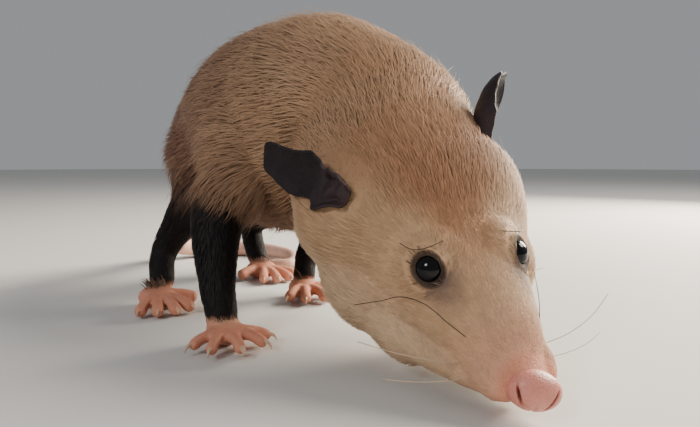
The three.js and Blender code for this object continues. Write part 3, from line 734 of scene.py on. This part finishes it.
def unwrapped(roots):
    """The place of each root on the opened-out hide: trunk below, the four legs above it."""
    along, best = TRUNK.nearest(roots)
    angle = np.zeros(len(roots))
    table = np.zeros((len(roots), 2))
    for number, form in enumerate([TRUNK, *LEGS.values()]):
        place, out = (along, best) if form is TRUNK else form.nearest(roots)
        centre, _, left, top = form.spine(place)
        off = roots - centre
        turn = (np.arctan2((off * top).sum(1), (off * left).sum(1)) / (2 * math.pi) + 0.25) % 1
        if form is TRUNK:
            table[:] = np.stack([0.01 + 0.96 * place / form.length, 0.01 + 0.6 * turn], 1)
            continue
        nearer = out < best
        spot = np.stack([0.01 + 0.24 * (number - 1) + 0.22 * turn, 0.64 + 0.34 * place / form.length], 1)
        table[nearer] = spot[nearer]
    return table


coat_look = Look("coat", Roughness=0.6, Specular_IOR_Level=0.22, Sheen_Weight=0.08, Sheen_Roughness=0.5)
strand, tone = coat_look.mark("strand"), coat_look.mark("tone")
colour = coat_look.shade(coat_colour(coat_look), 0.84 + 0.20 * strand + 0.40 * (tone - 0.5))
dark_tip = coat_look.ramp(tone, 0.72, 0.84) * strand
dark_tip = dark_tip * (1 - coat_look.mark("leg")) * coat_look.mark("rear")
colour = coat_look.mix(dark_tip * 0.5, colour, paint(60, 40, 33))
coat_look.finish(Base_Color=colour)

EAR_PLANS = {
    "left": dict(
        root=in_head(-103.6, 27.6, 14.2), lean=Vector((-0.203, 0.634, 0.747)),
        face=Vector((0.774, 0.571, -0.274)), length=49.9, sag=6,
        rows=[(-0.08, -6, 6, 1.3), (0.06, -8.5, 8.5, 1.25), (0.2, -11.7, 11.7, 1.2), (0.42, -12, 13, 1.05),
              (0.56, -13.4, 13.8, 0.92), (0.68, -15.4, 13.4, 0.8), (0.77, -17.2, 10.2, 0.65),
              (0.86, -18.4, 4.6, 0.52), (0.93, -16.8, 2.2, 0.42), (0.97, -13.5, 0.2, 0.36),
              (0.99, -10, -1.6, 0.35), (1.0, -6.5, -3.8, 0.35)],
    ),
    "right": dict(
        root=in_head(-82.9, -35.8, 20.2), lean=Vector((-0.883, -0.328, 0.336)),
        face=Vector((0.259, -0.937, -0.235)), length=40.2, sag=3,
        rows=[(-0.08, -3, 5, 1.3), (0.04, -5.5, 6.5, 1.3), (0.13, -6.8, 8.5, 1.2), (0.19, -4.6, 10.2, 1.1),
              (0.26, -6, 11.4, 0.9), (0.34, -6.8, 9.2, 0.7), (0.46, -7.6, 10.6, 0.55),
              (0.58, -5.8, 12.9, 0.5), (0.69, -4.8, 12.9, 0.5), (0.79, -4.6, 11.6, 0.45),
              (0.88, -4.8, 9.8, 0.4), (0.96, -4.6, 8.2, 0.4), (1.0, -3.8, 7, 0.4), (1.02, -2.4, 5.2, 0.4),
              (1.03, 0.6, 2.6, 0.4)],
    ),
}


def ear_axis(plan, share):
    """A point on the middle line of an ear at a share of its length."""
    sag = plan["sag"] * share * (1 - share) * 4
    return plan["root"] + plan["lean"] * (plan["length"] * share) - plan["face"] * sag


def beside_ears(points):
    """1 at the foot of the ears and under the laid back one, and 0 away from them."""
    share = np.zeros(len(points))
    for name, plan in EAR_PLANS.items():
        for reach in np.linspace(0.05, 0.75 if name == "right" else 0.3, 9):
            share = np.maximum(share, smooth(17, 10, away_from(points, ear_axis(plan, reach))))
    return share


hide_marks = marks(spots)
along, out = TRUNK.nearest(spots)
clear = smooth(10.5, 13.5, away_from(spots, NOSE_MIDDLE))
for side_name in SIDES:
    spread, _, away = lid_place(spots, side_name)
    clear *= np.where(away < 12, smooth(1.12, 1.35, spread), 1)
clear *= 1 - smooth(0.2, 0.8, hide_marks["bare"] * (spots[:, 2] < 20))
leg_near = np.zeros(len(spots))
for form in LEGS.values():
    place, ratio = form.nearest(spots)
    leg_near = np.maximum(leg_near, smooth(1.6, 1.2, ratio) * smooth(0.3, 0.45, place / form.length))
on_leg = np.maximum(smooth(0.15, 0.5, hide_marks["leg"]), leg_near)
on_face = smooth(120, 95, along) * (out < 1.9) * (1 - on_leg)
on_trunk = np.clip(smooth(84, 108, along) - on_leg, 0, 1)


PIECE_TRIANGLES = 190000


def coat_piece(name, slot, count, density, rings, width, length_of, rise_of, gather, lock, curl):
    """Lays one coat over the hide, in as many pieces as its triangles ask for."""
    roots, facing = scatter(count, density)
    order = np.argsort(TRUNK.nearest(roots)[0], kind="stable")
    roots, facing = roots[order], facing[order]
    along = TRUNK.nearest(roots)[0]
    length = length_of(roots, along) * (0.75 + 0.5 * chance.random(count))
    short = 1 - 0.75 * beside_ears(roots)
    length = length * short * np.where(along > 120, 0.72 + 0.28 * smooth(56, 82, roots[:, 2]), 1)
    rise = np.minimum(rise_of(roots, along) * (0.6 + 0.55 * chance.random(count)) * short, length * 0.75)
    wide = width * (0.7 + 0.6 * chance.random(count))
    lines, side, tone = tufts(roots, facing, length, rise, rings, gather, lock, curl)
    shares, rows = marks(roots), (lines, side, facing, wide, tone, unwrapped(roots))
    each = PIECE_TRIANGLES // (rings * 6 - 2)
    for number, begin in enumerate(range(0, count, each)):
        part = slice(begin, begin + each)
        part_shares = {key: values[part] for key, values in shares.items()}
        tuft_mesh(f"{name}_{number + 1}", slot, *[row[part] for row in rows], part_shares)


def by_place(*pairs):
    """A length or rise that changes along the trunk."""
    return lambda roots, along: np.interp(along, *zip(*pairs))


def by_height(*pairs):
    """A length or rise that changes with the height over the ground."""
    return lambda roots, along: np.interp(roots[:, 2], *zip(*pairs))


body_length = by_place((84, 7), (105, 10), (130, 14), (180, 16), (290, 15), (325, 9))
body_rise = by_place((84, 2.6), (105, 3.8), (130, 5.0), (160, 6.4), (290, 6.0), (325, 3.5))
under_length = by_place((84, 6), (105, 8), (130, 11), (180, 12), (290, 11), (325, 7))
under_rise = by_place((84, 1.2), (105, 2.0), (130, 3.6), (160, 5.0), (290, 4.6), (325, 2.8))
face_length = by_place((0, 1.3), (10, 1.7), (25, 2.6), (50, 3.8), (80, 7), (120, 11))
face_rise = by_place((0, 0.25), (25, 0.5), (50, 0.9), (80, 2.2), (120, 4.0))
guard_length = by_place((84, 12), (120, 20), (200, 25), (325, 18))
guard_rise = by_place((84, 3), (120, 6.5), (200, 8.5), (325, 6))
leg_length = by_height((8, 1.6), (16, 2.8), (24, 5), (40, 7), (60, 10), (80, 12))
leg_rise = by_height((8, 0.35), (16, 0.5), (24, 1.0), (40, 1.7), (60, 2.4), (80, 3.2))
near_front = 1 + 1.3 * smooth(60, 10, along) + 0.5 * smooth(70, 90, along)

trunk_density, face_density = on_trunk * clear, on_face * clear * near_front
for coat in (
    ("coat", "body_fur", 32000, trunk_density, 3, 0.52, body_length, body_rise, 0.22, 6, 0.42),
    ("underfur", "body_fur", 26000, trunk_density, 2, 0.75, under_length, under_rise, 0.15, 5, 0.45),
    ("guard_hair", "body_fur", 5000, trunk_density, 3, 0.22, guard_length, guard_rise, 0.2, 9, 0.4),
    ("face_fur", "face_fur", 50000, face_density, 2, 0.34, face_length, face_rise, 0.12, 4, 0.2),
    ("leg_fur", "leg_fur", 13000, on_leg * clear, 2, 0.55, leg_length, leg_rise, 0.3, 4, 0.2),
):
    coat_piece(*coat)


# Eyes. Dark, wet and bulging balls, set deep between the lids. A thin dark rim of bare skin runs
# round each opening, on the edge of the lids.
eye_look = Look("eye", Roughness=0.09, Specular_IOR_Level=0.26)
pupil = eye_look.ramp(eye_look.noise(300, 2), 0.3, 0.7)
eye_look.finish(Base_Color=eye_look.mix(pupil, paint(4, 4, 7), paint(10, 8, 11)))
rim_look = Look("eyelid", Roughness=0.38)
rim_look.finish(
    Base_Color=rim_look.mix(rim_look.noise(700), paint(38, 26, 24), paint(74, 54, 48)),
    Normal=rim_look.bump(rim_look.noise(1500), 0.0002, 0.6),
)
RIM_STEPS, RIM_SIDES, RIM_REACH = 72, 10, 6.55
for side_name in SIDES:
    centre, gaze, corner, rise = EYES[side_name]
    ball = bmesh.new()
    egg(ball, centre, [EYE_RADIUS] * 3)
    bmesh.ops.subdivide_edges(ball, edges=ball.edges, cuts=1, use_grid_fill=True)
    for vert in ball.verts:
        out = (vert.co - centre).normalized()
        swell = max(0.0, (out.dot(gaze) - 0.72) / 0.28)
        vert.co = centre + out * (EYE_RADIUS + 0.45 * swell * (2 - swell))
    eye = new_piece(f"eyeball_{side_name}", ball, eye_look.material)
    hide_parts(f"eye_{side_name}")
    rim = bmesh.new()
    stops = []
    for number in range(RIM_STEPS):
        turn = 2 * math.pi * number / RIM_STEPS
        a, b = math.cos(turn), math.sin(turn)
        stretch = 1 + LID_POINT * abs(a)
        off = corner * (a * LID_WIDE * stretch) + rise * (b * LID_TALL * stretch)
        stops.append(centre + off + gaze * math.sqrt(max(RIM_REACH**2 - off.length_squared, 1)))
    rings = []
    for number, place in enumerate(stops):
        ahead = (stops[(number + 1) % RIM_STEPS] - stops[number - 1]).normalized()
        out = (place - centre).normalized()
        across = ahead.cross(out)
        ring = bmesh.ops.create_circle(rim, segments=RIM_SIDES, radius=1)["verts"]
        for k, vert in enumerate(ring):
            angle = 2 * math.pi * k / RIM_SIDES
            vert.co = place + across * (0.62 * math.cos(angle)) + out * (0.5 * math.sin(angle))
        rings.append(ring)
    for before, after in zip(rings, rings[1:] + rings[:1]):
        for k in range(RIM_SIDES):
            following = (k + 1) % RIM_SIDES
            rim.faces.new((before[k], before[following], after[following], after[k]))
    bmesh.ops.recalc_face_normals(rim, faces=rim.faces)
    new_piece(f"lids_{side_name}", rim, rim_look.material)


# Nose. A bare moist pink pad with a shallow groove down its middle, finely pitted, and a nostril
# on each side: a narrow slit that leans inwards at its foot. The pits, the groove and the nostrils
# are darkened with painted shade.
NOSE = Matrix.Translation(NOSE_MIDDLE) @ HEAD_TURNED
NOSE = NOSE @ Matrix.Rotation(math.radians(-26), 4, "Z") @ Matrix.Rotation(math.radians(-20), 4, "Y")
nose_look = Look("nose", Roughness=0.42, Coat_Weight=0.25, Coat_Roughness=0.3)
pits = nose_look.cells(1500)
blush = nose_look.mix(nose_look.noise(240), paint(196, 118, 102), paint(214, 142, 126))
# Painted shade: the pad is darker in its pits.
blush = nose_look.mix(nose_look.ramp(pits, 0.1, 0.6, 0.35, 0.0), blush, paint(180, 108, 98))
# Painted shade: the hollow share darkens the pad to a deep red in the groove and the nostrils, by their
# depth.
blush = nose_look.mix(nose_look.mark("hollow"), blush, paint(84, 32, 28))
nose_look.finish(Base_Color=blush, Normal=nose_look.bump(pits, 0.00025, 0.7))
pad = bmesh.new()
bmesh.ops.create_icosphere(pad, subdivisions=6, radius=1)
hollow = []
for vert in pad.verts:
    place = Vector((vert.co.x * 5.6, vert.co.y * 8.4, vert.co.z * 6.5))
    depth = 0.0
    if place.x > 0:
        depth = 0.3 * math.exp(-((place.y / 0.6) ** 2)) * min(1, max(0, (2 - place.z) / 4))
    if place.x > -2:
        slit = 5.1 + 0.45 * place.z - 0.03 * place.z**2
        y, z = (abs(place.y) - slit) / 0.45, (place.z + 0.1) / 2.6
        depth = max(depth, 2.3 * math.exp(-((y * y + z * z) ** 1.6)))
    # The hollow share is the depth of the groove or nostril, read by the painted shade.
    hollow.append(min(1.0, depth / 2.4))
    vert.co = place - Vector((vert.co.x, vert.co.y * 0.25, vert.co.z * 0.25)).normalized() * depth
bmesh.ops.transform(pad, matrix=NOSE, verts=pad.verts)
nose = new_piece("nose_pad", pad, nose_look.material)
put_marks(nose.data, {"hollow": np.array(hollow)})
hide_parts("nose")


# Ears. Thin, bare and almost black, leathery and crumpled at the foot. The left one stands up
# and is turned to the front, the right one is folded back.
ear_look = Look("ear", Roughness=0.6, Specular_IOR_Level=0.2)
veins = ear_look.noise(190, 5, 0.65)
leather = ear_look.mix(veins, paint(16, 12, 15), paint(40, 32, 37))
ear_look.finish(
    Base_Color=ear_look.mix(ear_look.mark("foot") * 0.5, leather, paint(70, 54, 54)),
    Normal=ear_look.bump(ear_look.noise(900, 4), 0.0004, 0.8, ear_look.bump(veins, 0.0012, 0.5)),
)
EAR_WALL, EAR_START, LYING_CLEAR = 0.0009, 0.12, 1.8
for side_name, plan in EAR_PLANS.items():
    shell = bmesh.new()
    foot = shell.verts.layers.float.new("foot")
    bmesh.ops.create_grid(shell, x_segments=30, y_segments=60, size=1)
    ear_rows = np.array(plan["rows"])
    axis_places = [ear_axis(plan, share) for share in (-EAR_START, 0.3, 0.65, 1)]
    mid = Form(axis_places, [(0, 0), (1, 0)], up=plan["face"])
    lifts = {}
    for vert in shell.verts:
        u, v = vert.co.x, (vert.co.y + 1) / 2
        share = ear_rows[0, 0] + (ear_rows[-1, 0] - ear_rows[0, 0]) * (1 - (1 - v) ** 1.25)
        low, high, curl = (np.interp(share, ear_rows[:, 0], ear_rows[:, k]) for k in (1, 2, 3))
        half = (high - low) / 2
        spine = mid.spine(plan["length"] * (share + EAR_START))
        centre, _, left, top = (Vector(part[0]) for part in spine)
        across = (low + high) / 2 + half * math.sin(u * curl) / math.sin(curl)
        cup = half * (1 - math.cos(u * curl)) / math.sin(curl)
        crumple = math.exp(-(((share - 0.14) / 0.15) ** 2)) * (1 if side_name == "right" else 0.35)
        ripple = (1.1 * math.sin(u * 7 + 2 * share) + 0.7 * math.sin(share * 46 + u * 3)) * crumple
        ripple += 0.2 * math.sin(u * 9) * (1 - share) + 0.12 * math.sin(share * 40)
        vert.co = centre + left * across + top * (cup + ripple)
        vert[foot] = max(0.0, 1 - share * 2.2)
        near, slope, _, _ = hide_tree.find_nearest(vert.co)
        sunk = LYING_CLEAR - (vert.co - near).dot(slope)
        lifts[vert] = min(sunk, 8) if share > 0.12 and 0 < sunk < 10 and side_name == "right" else 0
    for _ in range(12):
        beside = {vert: [edge.other_vert(vert) for edge in vert.link_edges] for vert in shell.verts}
        lifts = {
            vert: max(lifts[vert] * 0.97, sum(lifts[other] for other in others) / len(others))
            for vert, others in beside.items()
        }
    for vert, lift in lifts.items():
        vert.co += plan["face"] * lift
    bmesh.ops.recalc_face_normals(shell, faces=shell.faces)
    ear = new_piece(f"ear_shell_{side_name}", shell, ear_look.material)
    wall = ear.modifiers.new("wall", "SOLIDIFY")
    wall.thickness = EAR_WALL
    wall.offset = 0
    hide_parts(f"ear_{side_name}")


# Tail. Bare skin over a tapered core, ringed with fine scales. It leaves the fur of the rump dark,
# turns pale after a third of its length, and lies on the ground in a loose curl.
TAIL_LENGTH, TAIL_LIE, RING_SPACING, TAIL_STEP = 262, 5, 1.9, 0.55
TAIL = Form(
    [
        TAIL_ROOT + Vector((12, 0, 8)), TAIL_ROOT + Vector((-28, -2, -27)), (-155, 14, 15),
        (-165, 46, TAIL_LIE + 2), (-142, 78, TAIL_LIE + 1), (-104, 88, TAIL_LIE),
        (-76, 72, TAIL_LIE - 1), (-86, 58, TAIL_LIE - 1.6),
    ],
    [
        (TAIL_LENGTH * share, *[0 if share in (0, 1) else 10 - 7 * share] * 3)
        for share in (0, 0.02, 0.12, 0.25, 0.38, 0.5, 0.62, 0.75, 0.88, 0.98, 1)
    ],
)
tail_look = Look("tail", Roughness=0.55)
grain = tail_look.noise(500, 3)
bare_tail = tail_look.mix(grain, paint(206, 158, 138), paint(228, 188, 168))
dark_tail = tail_look.mix(grain, paint(44, 34, 34), paint(78, 62, 60))
shift = tail_look.ramp(tail_look.mark("down") + 0.08 * tail_look.noise(120), 0.30, 0.42)
skin_colour = tail_look.mix(shift, dark_tail, bare_tail)
# Painted shade: the skin is darker in the grooves between the rings.
between_rings = tail_look.ramp(tail_look.mark("ringed"), 0.0, 0.35, 0.45, 0.0)
skin_colour = tail_look.mix(between_rings, skin_colour, paint(110, 72, 62))
tail_look.finish(Base_Color=skin_colour, Normal=tail_look.bump(tail_look.cells(1100), 0.0003, 0.6))
tail_bm = bmesh.new()
TAIL.loft(tail_bm, spacing=TAIL_STEP, sides=30)
tail_places = np.array([v.co for v in tail_bm.verts])
down, _ = TAIL.nearest(tail_places, 0.5)
ringed = np.abs(np.sin(down * math.pi / RING_SPACING))
for vert, centre, swell in zip(tail_bm.verts, TAIL.spine(down)[0], ringed):
    vert.co += (vert.co - Vector(centre)).normalized() * (0.22 * swell - 0.15)
    vert.co.z = max(vert.co.z, 2 * GROUND)
bmesh.ops.recalc_face_normals(tail_bm, faces=tail_bm.faces)
tail = new_piece("tail", tail_bm, tail_look.material)
put_marks(tail.data, {"ringed": ringed, "down": down / TAIL_LENGTH})
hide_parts("tail_root", "tail_middle", "tail_end")


# Claws. Pale curved horn, grown out of the tip of each toe and worn to a blunt point. The thumbs
# of the hind feet have none.
CLAW_LENGTH = 4.4
claw_look = Look("claw", Roughness=0.35)
claw_look.finish(
    Base_Color=claw_look.mix(claw_look.noise(600), paint(176, 136, 110), paint(214, 184, 156)),
    Normal=claw_look.bump(claw_look.noise(1800), 0.0001, 0.5),
)
for leg_name, plan in LEG_PLANS.items():
    claws = bmesh.new()
    for reach, thumb, at in toe_paths(plan, "hind" in leg_name):
        if thumb:
            continue
        rows = [
            (0, 0.6, 0.7, 0.6), (1, 1.1, 1.3, 1.2), (CLAW_LENGTH * 0.7, 0.85, 1.05, 0.85),
            (CLAW_LENGTH + 2.6, 0.1, 0.12, 0.1),
        ]
        points = [at(reach - 3, 4.6), at(reach + 1, 4.2), at(reach + CLAW_LENGTH - 1.5, 1.2)]
        Form(points, rows).loft(claws, spacing=0.6, sides=12)
    bmesh.ops.recalc_face_normals(claws, faces=claws.faces)
    new_piece(f"claws_{leg_name}", claws, claw_look.material)


# Whiskers. Long fine bristles, dark ones over the brow and on the cheek and pale ones round the
# lips, each rooted in the skin and bent by its own weight.
def bristles(shade_name, low, high, thick, paths):
    """Tapered bristles of one shade along paths, all with one thickness at the root."""
    look = Look(f"{shade_name}_whisker", Roughness=0.4)
    look.finish(Base_Color=look.mix(look.noise(200), paint(*low), paint(*high)))
    mesh_bm = bmesh.new()
    for path in paths:
        reach = Form(path, [(0, 0), (1, 0)]).length
        shares = (0, 0.25, 0.5, 0.75, 1)
        rows = [(share * reach, *[thick * (1 - 0.8 * share) / 2] * 3) for share in shares]
        Form(path, rows).loft(mesh_bm, spacing=1.2, sides=4)
    bmesh.ops.recalc_face_normals(mesh_bm, faces=mesh_bm.faces)
    new_piece(f"{shade_name}_whiskers", mesh_bm, look.material)


luck = np.random.default_rng(21)
BROW = [(-51.5, 17.6, 17.6), (-54.5, 21, 14.5), (-59.3, 23.8, 13.6)]
CHEEK = [
    ((-22, 12.6, 3.7), -0.5), ((-31, 16, 3.6), 1.3), ((-40, 19.5, 3.4), 2.2), ((-48, 23.5, 0), 2.8),
    ((-53.7, 28, -6.6), 3.4), ((-57, 35.8, -10.5), 4.4),
]
pale, dark = [], []


def on_hide(spot, lift):
    """The place on the hide nearest to one given in the head, lifted off it."""
    near, slope, _, _ = hide_tree.find_nearest(in_head(*spot))
    return near + slope * lift


for side in SIDES.values():
    brow_root = on_hide((-55.2, side * 7.2, 16.2), -0.5)
    dark.append([brow_root, *[in_head(x, side * y, z) for x, y, z in BROW]])
    dark.append([on_hide((x, side * y, z), lift) for (x, y, z), lift in CHEEK])
    for k in (1, 2):
        start = in_head(-11 - 5.2 * k, side * (9.6 + 0.85 * k), -3.6 - 1.1 * k)
        near, slope, _, _ = hide_tree.find_nearest(start)
        back = Vector((-0.7 - 0.1 * k + 0.2 * luck.random(), 0, -0.3 + 0.2 * luck.random()))
        back = HEAD_TURNED @ back
        length = 16 + 5 * k + 6 * luck.random()
        way = (slope + back * 0.1).normalized()
        shares = (-0.03, 0.3, 0.65, 1)
        path = [near + way * (length * s) + back * (length * 0.45 * s * s) for s in shares]
        for spot in path:
            spot.z = max(spot.z, 1.0)
        pale.append(path)
bristles("pale", (182, 156, 130), (206, 182, 158), 0.08, pale)
bristles("dark", (26, 20, 18), (48, 38, 34), 0.14, dark)


# Studio. A wide pale floor, a soft key from above on the camera's right, a weak fill from its left
# and a low warm light that comes from the right beside the head.
floor_look = Look("floor", Roughness=0.9)
floor_tone = floor_look.mix(floor_look.noise(6), (0.62, 0.61, 0.59, 1), (0.66, 0.65, 0.63, 1))
floor_look.finish(Base_Color=floor_tone)
ground = bmesh.new()
bmesh.ops.create_circle(ground, segments=96, radius=6, cap_ends=True)
ground_mesh = bpy.data.meshes.new("floor")
ground.to_mesh(ground_mesh)
ground.free()
floor = bpy.data.objects.new("floor", ground_mesh)
bpy.context.scene.collection.objects.link(floor)
ground_mesh.materials.append(floor_look.material)

world = bpy.data.worlds.new("studio")
world.use_nodes = True
sky = world.node_tree.nodes["Background"].inputs
sky["Color"].default_value = (0.80, 0.82, 0.85, 1)
sky["Strength"].default_value = 0.38
bpy.context.scene.world = world
for name, place, aim, size, power, tint in (
    ("key", (0.55, 1.05, 1.1), (0.08, 0, 0.06), 0.8, 29, (1, 0.93, 0.82)),
    ("fill", (0.42, -1.1, 0.75), (0.05, 0, 0.06), 0.35, 7, (1, 0.97, 0.93)),
    ("edge", (0.0, 0.95, 0.45), (0.15, 0, 0.06), 0.5, 27, (1, 0.89, 0.74)),
):
    lamp = bpy.data.lights.new(name, "AREA")
    lamp.shape = "DISK"
    lamp.size = size
    lamp.energy = power
    lamp.color = tint
    light = bpy.data.objects.new(name, lamp)
    light.location = place
    light.rotation_euler = (Vector(aim) - Vector(place)).to_track_quat("-Z", "Y").to_euler()
    bpy.context.scene.collection.objects.link(light)
